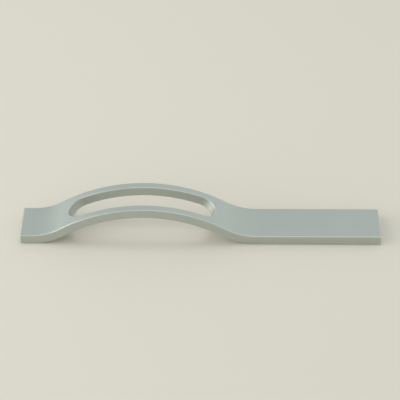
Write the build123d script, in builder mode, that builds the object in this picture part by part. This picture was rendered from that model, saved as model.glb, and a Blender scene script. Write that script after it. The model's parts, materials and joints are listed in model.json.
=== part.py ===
from build123d import *
from math import acos, cos, degrees, radians, sin
import os

# Bridge pull handle: one flat bar, bent into a raised arch between a short foot and a
# long foot, with a long slot through the arch. Both feet stand on Z = 0. The short foot
# is at -X, the bar runs along +X, and the origin is under the middle of its length.
# Sizes are in millimetres.

# Bar stock
overall_length = 240.0
bar_width = 32.0
bar_thickness = 6.5
edge_radius = 0.5  # rounding of every outer edge

# Bends. The arch is measured on its underside and the two hollow bends on their top,
# so each radius is that of the former the bar is bent round.
arch_clearance = 21.0  # from Z = 0 to the underside at the crown
arch_radius = 100.0
short_bend_radius = 34.0
long_bend_radius = 42.0
short_foot_flat = 8.0  # from the end of the bar to the start of the short bend

# Slot, measured along the top of the arch
rail_width = 5.8  # left standing on each side of the slot
slot_short_reach = 52.5  # from the crown to the slot's end, towards the short foot
slot_long_reach = 50.0
slot_edge_radius = 0.5

# Blind tapped holes for M4 screws that come up through the panel
fixing_inset = 8.0  # from each end of the bar to the hole
tapping_drill_diameter = 3.3
thread_lead_in_diameter = 4.3
fixing_skin = 1.5  # metal left above the hole

# Worked out from the sizes above
short_end_x = -overall_length / 2
long_end_x = overall_length / 2
short_bend_underside = short_bend_radius + bar_thickness
long_bend_underside = long_bend_radius + bar_thickness
arch_top_radius = arch_radius + bar_thickness
short_slope = degrees(acos(1 - arch_clearance / (arch_radius + short_bend_underside)))
long_slope = degrees(acos(1 - arch_clearance / (arch_radius + long_bend_underside)))
crown_x = (
    short_end_x
    + short_foot_flat
    + (arch_radius + short_bend_underside) * sin(radians(short_slope))
)
arch_centre = Vector(crown_x, 0, arch_clearance - arch_radius)
slot_width = bar_width - 2 * rail_width
slot_end_radius = slot_width / 2
slot_short_angle = degrees((slot_short_reach - slot_end_radius) / arch_top_radius)
slot_long_angle = degrees((slot_long_reach - slot_end_radius) / arch_top_radius)


def outwards(angle):
    """Direction from the arch's centre, leaning by angle from upright towards +X."""
    return Vector(sin(radians(angle)), 0, cos(radians(angle)))


with BuildPart() as pull_handle:
    # Side view: the underside is one chain of tangent lines and arcs, and the top runs
    # parallel to it, one thickness above.
    with BuildSketch(Plane.XZ):
        with BuildLine():
            short_foot = Line((short_end_x, 0), (short_end_x + short_foot_flat, 0))
            short_bend = JernArc(short_foot @ 1, short_foot % 1, short_bend_underside, short_slope)
            arch = JernArc(short_bend @ 1, short_bend % 1, arch_radius, -short_slope - long_slope)
            long_bend = JernArc(arch @ 1, arch % 1, long_bend_underside, long_slope)
            Line(long_bend @ 1, (long_end_x, 0))
            offset(amount=bar_thickness, side=Side.LEFT)
        make_face()
    extrude(amount=bar_width / 2, both=True)

    # Outer edges: the outlines of both sides and of both ends, but not the lines across
    # the bar where one bend runs smoothly into the next.
    sides = pull_handle.faces().filter_by(Axis.Y)
    ends = pull_handle.faces().filter_by(Axis.X)
    fillet((sides + ends).edges(), radius=edge_radius)

    # Slot: a wedge from the arch's centre cuts its straight sides, and a drill pointed at
    # that centre rounds each end, so that every wall of the slot is square to the arch.
    with BuildSketch(Plane.XZ):
        with BuildLine():
            wedge_tips = [
                arch_centre + outwards(angle) * 2 * arch_top_radius
                for angle in (-slot_short_angle, slot_long_angle)
            ]
            Polyline([(tip.X, tip.Z) for tip in (arch_centre, *wedge_tips)], close=True)
        make_face()
    extrude(amount=slot_width / 2, both=True, mode=Mode.SUBTRACT)
    for angle in (-slot_short_angle, slot_long_angle):
        drill_start = arch_centre + outwards(angle) * arch_top_radius
        with Locations(Plane(drill_start, z_dir=outwards(angle))):
            Hole(slot_end_radius)
    slot_rims = (
        pull_handle.edges()
        .filter_by_position(Axis.Y, -slot_end_radius, slot_end_radius)
        .filter_by(GeomType.LINE, reverse=True)
    )
    fillet(slot_rims, radius=slot_edge_radius)

    # Fixing holes, from below
    with Locations(-Plane.XY):
        with GridLocations(overall_length - 2 * fixing_inset, 1, 2, 1):
            CounterSinkHole(
                radius=tapping_drill_diameter / 2,
                counter_sink_radius=thread_lead_in_diameter / 2,
                depth=bar_thickness - fixing_skin,
                counter_sink_angle=90,
            )

pull_handle.part.label = "pull_handle"

os.makedirs("parts", exist_ok=True)
export_step(pull_handle.part, "parts/pull_handle.step")

print("slopes", round(short_slope, 2), round(long_slope, 2), "crown x", round(crown_x, 2))
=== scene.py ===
# %% [markdown]
# # A bridge pull handle
# The handle is one flat bar of aluminium. It lies on a short foot and a long foot and
# rises between them in a low arch for the fingers. A long slot opens the arch, so that two
# slim rails are left, and the whole bar has a fine satin finish.
#
# The steps follow the workshop: the blank is cut flat with its slot, its edges are
# rounded, it is bent round formers, its fixing holes are drilled and tapped, and the
# finish comes last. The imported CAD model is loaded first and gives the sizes.

# %% Load the frame
import bmesh
import bpy
import json
from math import acos, cos, pi, radians, sin, tan
from mathutils import Matrix, Vector


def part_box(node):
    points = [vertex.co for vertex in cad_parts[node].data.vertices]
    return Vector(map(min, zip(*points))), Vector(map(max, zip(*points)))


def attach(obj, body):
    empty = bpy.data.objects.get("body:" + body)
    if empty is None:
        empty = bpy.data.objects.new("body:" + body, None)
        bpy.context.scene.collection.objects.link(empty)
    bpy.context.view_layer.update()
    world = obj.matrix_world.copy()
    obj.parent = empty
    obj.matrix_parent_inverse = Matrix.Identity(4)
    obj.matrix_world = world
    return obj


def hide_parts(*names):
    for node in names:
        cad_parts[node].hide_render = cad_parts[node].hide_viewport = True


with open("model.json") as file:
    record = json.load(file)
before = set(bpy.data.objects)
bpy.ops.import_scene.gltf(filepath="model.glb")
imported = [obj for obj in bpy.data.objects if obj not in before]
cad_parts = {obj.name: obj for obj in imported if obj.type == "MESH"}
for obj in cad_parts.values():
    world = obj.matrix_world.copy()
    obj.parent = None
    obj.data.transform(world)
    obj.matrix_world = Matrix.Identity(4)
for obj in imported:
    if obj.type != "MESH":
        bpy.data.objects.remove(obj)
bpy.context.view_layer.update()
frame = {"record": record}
mounts = {mount["name"]: mount for mount in frame["record"]["mounts"]}

# %% [markdown]
# ## Sizes
# A bent bar is set out by its stock, its bends and its slot. The length, the width and the
# height come from the CAD box, so that the finished handle fills the same space. The radii
# are those of the formers that the bar is bent round.

# %% Sizes of the bar, its bends and its slot
MM = 0.001
weld_distance = 1e-7  # vertices closer than this are one
bar_low, bar_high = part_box("pull_handle")
bar_length = bar_high.x - bar_low.x
bar_width = bar_high.y - bar_low.y
bar_thickness = 6.5 * MM
edge_radius = 0.5 * MM

arch_clearance = bar_high.z - bar_thickness
arch_radius = 100.0 * MM
short_bend_radius = 34.0 * MM
long_bend_radius = 42.0 * MM
short_foot_flat = 8.0 * MM

rail_width = 5.8 * MM
slot_width = bar_width - 2 * rail_width
slot_short_reach = 52.5 * MM
slot_long_reach = 50.0 * MM
slot_edge_radius = 0.5 * MM
print("clearance under the arch in mm:", round(arch_clearance / MM, 2))

# %% [markdown]
# ## Stretches of the bar
# A bent bar is easiest to describe as a walk along its middle layer, which neither
# stretches nor shrinks: so far straight on, then so far round a bend. Each stretch here has
# its length, the angle it turns by, and the number of slices it needs to look round.

# %% Work out the stretches
def steepest_slope(hollow_radius):
    """Slope where a hollow bend hands over to the arch, for the arch to clear its height."""
    return acos(1 - arch_clearance / (arch_radius + hollow_radius + bar_thickness))


middle = bar_thickness / 2
short_slope = steepest_slope(short_bend_radius)
long_slope = steepest_slope(long_bend_radius)
short_ramp = (arch_radius + short_bend_radius + bar_thickness) * sin(short_slope)
long_ramp = (arch_radius + long_bend_radius + bar_thickness) * sin(long_slope)
long_foot_flat = bar_length - short_foot_flat - short_ramp - long_ramp

stretches = (
    (short_foot_flat, 0.0, 5),
    ((short_bend_radius + middle) * short_slope, short_slope, 24),
    ((arch_radius + middle) * short_slope, -short_slope, 36),
    ((arch_radius + middle) * long_slope, -long_slope, 36),
    ((long_bend_radius + middle) * long_slope, long_slope, 26),
    (long_foot_flat, 0.0, 34),
)
blank_length = sum(length for length, turn, slices in stretches)
crown_station = sum(length for length, turn, slices in stretches[:3])
print("blank in mm:", round(blank_length / MM, 2), "crown at", round(crown_station / MM, 2))

# %% [markdown]
# ## Outline of the blank
# The blank is the same front and back, so only its back half is drawn: a bar with half of a
# round-ended slot along its middle. Each slot end is a quarter circle, spun from a single
# vertex. The top of the arch stretches as it is bent, so the slot is drawn shorter here by
# that much and comes out at its full length.

# %% Draw half of the outline
slot_radius = slot_width / 2
slot_end_steps = 24
arch_stretch = (arch_radius + middle) / (arch_radius + bar_thickness)


def slot_end(half, reach, side):
    """Quarter circle from the slot's back edge to its tip; returns its first and last vertex."""
    first = half.verts.new((0, slot_radius, 0))
    spun = bmesh.ops.spin(half, geom=[first], cent=(0, 0, 0), axis=(0, 0, -side),
                          angle=pi / 2, steps=slot_end_steps, use_merge=False)
    arc = [vertex for vertex in half.verts
           if abs(vertex.co.length - slot_radius) < weld_distance]
    last = [item for item in spun["geom_last"] if isinstance(item, bmesh.types.BMVert)][0]
    bmesh.ops.scale(half, vec=(arch_stretch, 1, 1), verts=arc)
    centre = crown_station + side * (reach - slot_radius) * arch_stretch
    bmesh.ops.translate(half, vec=(centre, 0, 0), verts=arc)
    return first, last


blank = bmesh.new()
short_start, short_tip = slot_end(blank, slot_short_reach, -1)
long_start, long_tip = slot_end(blank, slot_long_reach, 1)
corners = [blank.verts.new((station, across, 0)) for station, across in (
    (0, 0), (0, bar_width / 2), (blank_length, bar_width / 2), (blank_length, 0))]
around = [short_tip, *corners, long_tip]
for one, other in [*zip(around, around[1:]), (short_start, long_start)]:
    blank.edges.new((one, other))
bmesh.ops.contextual_create(blank, geom=blank.edges[:])
print("outline:", len(blank.verts), "vertices,", len(blank.faces), "face")

# %% [markdown]
# ## From outline to bar
# The half is mirrored to a whole sheet and extruded to the bar's thickness. The sheet is
# kept as the underside, so the body is closed.

# %% Mirror and thicken the blank
bmesh.ops.mirror(blank, geom=blank.verts[:] + blank.edges[:] + blank.faces[:],
                 matrix=Matrix.Identity(4), merge_dist=weld_distance, axis="Y")
grown = bmesh.ops.extrude_face_region(blank, geom=blank.faces[:], use_keep_orig=True)
top = [item for item in grown["geom"] if isinstance(item, bmesh.types.BMVert)]
bmesh.ops.translate(blank, vec=(0, 0, bar_thickness), verts=top)
bmesh.ops.recalc_face_normals(blank, faces=blank.faces[:])
print("open edges:", sum(not edge.is_manifold for edge in blank.edges))

# %% [markdown]
# ## Rounded edges
# The outer edges and the rims of the slot are rounded, which gives each of them the thin
# line of light that makes a bar look solid. This is done on the flat blank, where the faces
# are plain and the bevel stays even. The rounding is marked on the vertices with a number,
# the mask of the painted highlight that the finish lays along the edges.

# %% Round the edges
# per-vertex mask of the rounded edges, where the finish paints a highlight
painted_highlight_mask = blank.verts.layers.float.new("painted_highlight_mask")
square_angle = radians(60)  # faces that meet at more than this leave an edge to round
slot_side_limit = slot_radius + 0.1 * MM  # every edge of the slot is nearer the middle line
rounding_segments = 6


def rims(body, of_slot):
    """Edges between faces that meet squarely: those of the slot, or the outer ones."""
    square = [edge for edge in body.edges if edge.calc_face_angle(0) > square_angle]
    return [edge for edge in square
            if all(abs(vertex.co.y) < slot_side_limit for vertex in edge.verts) == of_slot]


def round_edges(body, edges, radius):
    """Bevels edges to a quarter circle and marks what is inside the rounding."""
    made = bmesh.ops.bevel(body, geom=edges, offset=radius, offset_type="OFFSET",
                           segments=rounding_segments, profile=0.5, affect="EDGES", material=-1,
                           clamp_overlap=False, loop_slide=True)
    rounding = set(made["faces"])
    # vertices inside the rounding get the painted highlight
    for vertex in {vertex for face in rounding for vertex in face.verts}:
        vertex[painted_highlight_mask] = float(rounding.issuperset(vertex.link_faces))
    print(len(edges), "edges rounded,", len(rounding), "faces")


round_edges(blank, rims(blank, False), edge_radius)
round_edges(blank, rims(blank, True), slot_edge_radius)

# %% [markdown]
# ## Bending
# A face can only bend where it has an edge, so the blank is sliced across first, finely in
# the bends and coarsely in the feet. Every slice is then carried to its place on the walk
# along the middle layer and turned square to it, as the bar is on its formers.

# %% Slice the blank and bend it
station = 0.0
for length, turn, slices in stretches:
    for step in range(slices):
        if station > 0 or step > 0:
            bmesh.ops.bisect_plane(
                blank, geom=blank.verts[:] + blank.edges[:] + blank.faces[:],
                dist=weld_distance, plane_co=(station + length * step / slices, 0, 0),
                plane_no=(1, 0, 0))
    station += length


def bent(flat):
    """Where a point of the flat blank is once the bar is bent."""
    spot = Vector((bar_low.x, 0, middle))
    heading = 0.0
    left = flat.x
    for length, turn, slices in stretches:
        part = min(left, length)
        if turn:
            radius = length / turn
            ahead = heading + part / radius
            spot.x += radius * (sin(ahead) - sin(heading))
            spot.z += radius * (cos(heading) - cos(ahead))
            heading = ahead
        else:
            spot.x += part * cos(heading)
            spot.z += part * sin(heading)
        left -= part
        if left <= 0:
            break
    rise = flat.z - middle
    return Vector((spot.x - rise * sin(heading), flat.y, spot.z + rise * cos(heading)))


for vertex in blank.verts:
    vertex.co = bent(vertex.co)
print("bent bar:", len(blank.faces), "faces, top at", round(
    max(vertex.co.z for vertex in blank.verts) / MM, 2), "mm")

# %% [markdown]
# ## From bmesh to object
# A finished piece is an object at the origin, with its place in its mesh, so that a pattern
# on its own coordinates stays where it is when the handle is exported.

# %% Make the handle an object
def as_object(body, name):
    """Turns a bmesh into an object of the scene."""
    mesh = bpy.data.meshes.new(name)
    body.to_mesh(mesh)
    body.free()
    piece = bpy.data.objects.new(name, mesh)
    bpy.context.scene.collection.objects.link(piece)
    return piece


handle = as_object(blank, "handle")
print("handle:", len(handle.data.vertices), "vertices")

# %% [markdown]
# ## Fixing holes
# Two screws come up through the panel into blind holes in the feet. Each hole is drilled
# with a short lead-in and then tapped. Both tools are modelled and cut away with a Boolean:
# the drill is a profile spun once round, and the tap is the cross-section of the thread's
# groove, spun upwards by one pitch a turn.

# %% Make the drill and the tap
thread = mounts["short_foot_thread"]["dims"]
hole_radius = thread["r_mm"] * MM
lead_in = 0.5 * MM
hole_depth = thread["length_mm"] * MM + lead_in
thread_pitch = 0.7 * MM
thread_root_radius = 2.0 * MM
thread_turns = 8
flank_slope = tan(radians(30))
groove_overlap = 0.08 * MM  # how far the tap's section reaches into the drilled hole
round_steps = 40


def drill():
    """Half of the hole's profile, spun round its axis, from below the foot to a flat end."""
    tool = bmesh.new()
    profile = [tool.verts.new((radius, 0, height)) for radius, height in (
        (0, -lead_in), (hole_radius + 2 * lead_in, -lead_in), (hole_radius, lead_in),
        (hole_radius, hole_depth), (0, hole_depth))]
    edges = [tool.edges.new(pair) for pair in zip(profile, profile[1:])]
    bmesh.ops.spin(tool, geom=profile + edges, cent=(0, 0, 0), axis=(0, 0, 1),
                   angle=2 * pi, steps=round_steps, use_merge=True)
    bmesh.ops.remove_doubles(tool, verts=tool.verts[:], dist=weld_distance)
    return tool


def tap():
    """The groove's cross-section, spun upwards from below the foot."""
    tool = bmesh.new()
    inner = hole_radius - groove_overlap
    root = thread_pitch / 16
    flank = root + (thread_root_radius - inner) * flank_slope
    section = [tool.verts.new((radius, 0, height - thread_pitch)) for radius, height in (
        (inner, -flank), (thread_root_radius, -root), (thread_root_radius, root),
        (inner, flank))]
    edges = [tool.edges.new(pair) for pair in zip(section, section[1:] + section[:1])]
    bmesh.ops.spin(tool, geom=section + edges, cent=(0, 0, 0), axis=(0, 0, 1),
                   dvec=(0, 0, thread_pitch / round_steps), angle=2 * pi * thread_turns,
                   steps=round_steps * thread_turns, use_merge=False)
    bmesh.ops.holes_fill(tool, edges=[edge for edge in tool.edges if edge.is_boundary])
    return tool


def cut_both_feet(tool, name):
    """Cuts the tool out of the handle at each fixing hole."""
    bmesh.ops.recalc_face_normals(tool, faces=tool.faces[:])
    one = tool.verts[:] + tool.edges[:] + tool.faces[:]
    twin = bmesh.ops.duplicate(tool, geom=one)["geom"]
    for geom, mount in ((one, "short_foot_thread"), (twin, "long_foot_thread")):
        spot = Vector(mounts[mount]["pos_m"])
        bmesh.ops.translate(tool, vec=(spot.x, spot.y, 0), verts=[
            item for item in geom if isinstance(item, bmesh.types.BMVert)])
    cutter = as_object(tool, name)
    boolean = handle.modifiers.new(name, "BOOLEAN")
    boolean.operation = "DIFFERENCE"
    boolean.solver = "EXACT"
    boolean.object = cutter
    ready = handle.evaluated_get(bpy.context.evaluated_depsgraph_get())
    cut = bpy.data.meshes.new_from_object(ready)
    handle.modifiers.clear()
    handle.data = cut
    bpy.data.objects.remove(cutter)
    print(name, "leaves", len(cut.polygons), "faces")


cut_both_feet(drill(), "drill")
cut_both_feet(tap(), "tap")

# %% [markdown]
# ## Smooth shading
# A bent bar has to shade as one sweep, while the holes keep their crisp edges. So each face
# is smooth, edges sharper than 35 degrees are kept, and the normals are weighted by area, so
# that the flat faces stay flat right up to their rounded edges.

# %% Smooth the handle
crisp_angle = radians(35)
shaded = bmesh.new()
shaded.from_mesh(handle.data)
for face in shaded.faces:
    face.smooth = True
for edge in shaded.edges:
    edge.smooth = edge.calc_face_angle(0) < crisp_angle
print("open edges:", sum(not edge.is_manifold for edge in shaded.edges),
      "volume in mm3:", round(shaded.calc_volume() * 1e9))
shaded.to_mesh(handle.data)
shaded.free()
weighted = handle.modifiers.new("weighted_normals", "WEIGHTED_NORMAL")
weighted.keep_sharp = True

# %% [markdown]
# ## Satin aluminium
# The bar is blasted with fine beads and then anodised, which leaves a matt, silver-grey
# skin with no direction to it. Its grain is about a quarter of a millimetre across. The
# skin is a little uneven in tone. The rounded edges are painted lighter: a painted highlight
# along each edge.

# %% Material of the bar
darker_skin = (0.492, 0.52, 0.482, 1)
lighter_skin = (0.508, 0.536, 0.498, 1)
# painted highlight: lighter colour laid on the rounded edges
painted_highlight_skin = (0.62, 0.65, 0.61, 1)
clouds_per_metre = 90.0
grains_per_metre = 3600.0
grain_depth = 0.02 * MM

satin = bpy.data.materials.new("satin_aluminium")
satin.use_nodes = True
nodes = satin.node_tree.nodes
links = satin.node_tree.links
shader = nodes["Principled BSDF"]
shader.inputs["Metallic"].default_value = 1.0


def noise(where, scale, detail):
    """A noise pattern on the object's own coordinates, in features per metre."""
    pattern = nodes.new("ShaderNodeTexNoise")
    pattern.inputs["Scale"].default_value = scale
    pattern.inputs["Detail"].default_value = detail
    links.new(where, pattern.inputs["Vector"])
    return pattern.outputs["Fac"]


def spread(value, low, high, out_low, out_high):
    """Maps low..high of a value to out_low..out_high."""
    ranged = nodes.new("ShaderNodeMapRange")
    for name, number in (("From Min", low), ("From Max", high),
                         ("To Min", out_low), ("To Max", out_high)):
        ranged.inputs[name].default_value = number
    links.new(value, ranged.inputs["Value"])
    return ranged.outputs["Result"]


place = nodes.new("ShaderNodeTexCoord").outputs["Object"]
clouds = noise(place, clouds_per_metre, 3.0)
grain = noise(place, grains_per_metre, 2.0)

tone = nodes.new("ShaderNodeMix")
tone.data_type = "RGBA"
tone.inputs["A"].default_value = darker_skin
tone.inputs["B"].default_value = lighter_skin
links.new(spread(clouds, 0.3, 0.7, 0.0, 1.0), tone.inputs["Factor"])

# painted highlight: the rounded edges are mixed towards the lighter colour by their mask
painted_highlight_attribute = nodes.new("ShaderNodeAttribute")
painted_highlight_attribute.attribute_name = "painted_highlight_mask"
painted_highlight_mix = nodes.new("ShaderNodeMix")
painted_highlight_mix.data_type = "RGBA"
painted_highlight_mix.inputs["B"].default_value = painted_highlight_skin
links.new(painted_highlight_attribute.outputs["Fac"], painted_highlight_mix.inputs["Factor"])
links.new(tone.outputs["Result"], painted_highlight_mix.inputs["A"])
links.new(painted_highlight_mix.outputs["Result"], shader.inputs["Base Color"])
links.new(spread(clouds, 0.3, 0.7, 0.46, 0.50), shader.inputs["Roughness"])

bump = nodes.new("ShaderNodeBump")
bump.inputs["Strength"].default_value = 0.25
bump.inputs["Distance"].default_value = grain_depth
links.new(grain, bump.inputs["Height"])
links.new(bump.outputs["Normal"], shader.inputs["Normal"])

handle.data.materials.clear()
handle.data.materials.append(satin)
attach(handle, "root")
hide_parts("pull_handle")
print("material slots:", [slot.name for slot in handle.material_slots])

# %% [markdown]
# ## Floor
# The handle lies on a plain pale floor that fills the view and takes its soft shadow. One
# flat grid is enough, because the camera doesn't look past its edge.

# %% Floor
floor_half_side = 2.5
ground = bmesh.new()
bmesh.ops.create_grid(ground, x_segments=8, y_segments=8, size=floor_half_side)
floor = as_object(ground, "floor")
paper = bpy.data.materials.new("pale_paper")
paper.use_nodes = True
matt = paper.node_tree.nodes["Principled BSDF"]
matt.inputs["Base Color"].default_value = (0.765, 0.71, 0.617, 1)
matt.inputs["Roughness"].default_value = 0.9
matt.inputs["Specular IOR Level"].default_value = 0.1
floor.data.materials.append(paper)
print("floor:", 2 * floor_half_side, "m square")

# %% [markdown]
# ## Light
# The handle lies in a small photo tent. Its walls glow, most of all low down, and its roof
# is dimmer but for one soft box almost overhead. Two more stand on the left, a broad one low
# down and a smaller one above it. Between them they give the shadows their direction and the
# short foot's ramp its brighter tone.

# %% World and lamps
horizon_glow = 1.23
roof_glow = 0.43
dome_radius = 1.5

world = bpy.data.worlds.new("tent")
bpy.context.scene.world = world
world.use_nodes = True
sky_nodes = world.node_tree.nodes
sky_links = world.node_tree.links
sky = sky_nodes["Background"]
sky.inputs["Color"].default_value = (0.93, 1.0, 1.0, 1)
direction = sky_nodes.new("ShaderNodeTexCoord")
split = sky_nodes.new("ShaderNodeSeparateXYZ")
height = sky_nodes.new("ShaderNodeMapRange")
height.inputs["To Min"].default_value = horizon_glow
height.inputs["To Max"].default_value = roof_glow
sky_links.new(direction.outputs["Generated"], split.inputs["Vector"])
sky_links.new(split.outputs["Z"], height.inputs["Value"])
sky_links.new(height.outputs["Result"], sky.inputs["Strength"])


def soft_box(name, turn, rise, wide, high, glow):
    """An area lamp on a dome round the handle, its angles in degrees seen from there.

    Its middle is turned from +X towards +Y and raised above the floor, it is as wide and
    as high as the last two angles, and glow is its radiance, where 1 is white.
    """
    light = bpy.data.lights.new(name, "AREA")
    light.shape = "RECTANGLE"
    light.size = 2 * dome_radius * tan(radians(wide / 2))
    light.size_y = 2 * dome_radius * tan(radians(high / 2))
    light.energy = glow * pi * light.size * light.size_y
    stand = bpy.data.objects.new(name, light)
    level = Vector((cos(radians(turn)), sin(radians(turn)), 0)) * cos(radians(rise))
    towards = level + Vector((0, 0, sin(radians(rise))))
    stand.location = towards * dome_radius
    stand.rotation_euler = towards.to_track_quat("Z", "Y").to_euler()
    stand.visible_camera = False
    bpy.context.scene.collection.objects.link(stand)


soft_box("left_low", 197, 11, 54, 22, 3.3)
soft_box("left_high", 180, 32, 28, 28, 1.7)
soft_box("overhead", 47, 77, 28, 28, 1.8)
print("lamps:", [light.name for light in bpy.data.lights])

# %% [markdown]
# ## Camera
# The camera stands in front of the handle and looks down on it by about 35 degrees. It is
# over a metre away with a long lens, so the bar's far edge is hardly shorter than its near
# one.

# %% Camera
look_down = radians(35.14)
turned = radians(-0.415)
aim = Vector((-0.53 * MM, 0, 24.7 * MM))
distance = 1.1895
back = Vector((-sin(turned) * cos(look_down), -cos(turned) * cos(look_down), sin(look_down)))
camera_data = bpy.data.cameras.new("camera")
camera_data.sensor_width = 36.0
camera_data.lens = 160.97
camera = bpy.data.objects.new("camera", camera_data)
camera.location = aim + back * distance
camera.rotation_euler = (-back).to_track_quat("-Z", "Y").to_euler()
camera_data.clip_start = 0.05
camera_data.clip_end = 20.0
bpy.context.scene.collection.objects.link(camera)
bpy.context.scene.camera = camera
bpy.context.scene.view_settings.view_transform = "Standard"
print("camera:", round(distance, 2), "m away with a lens of", round(camera_data.lens), "mm")
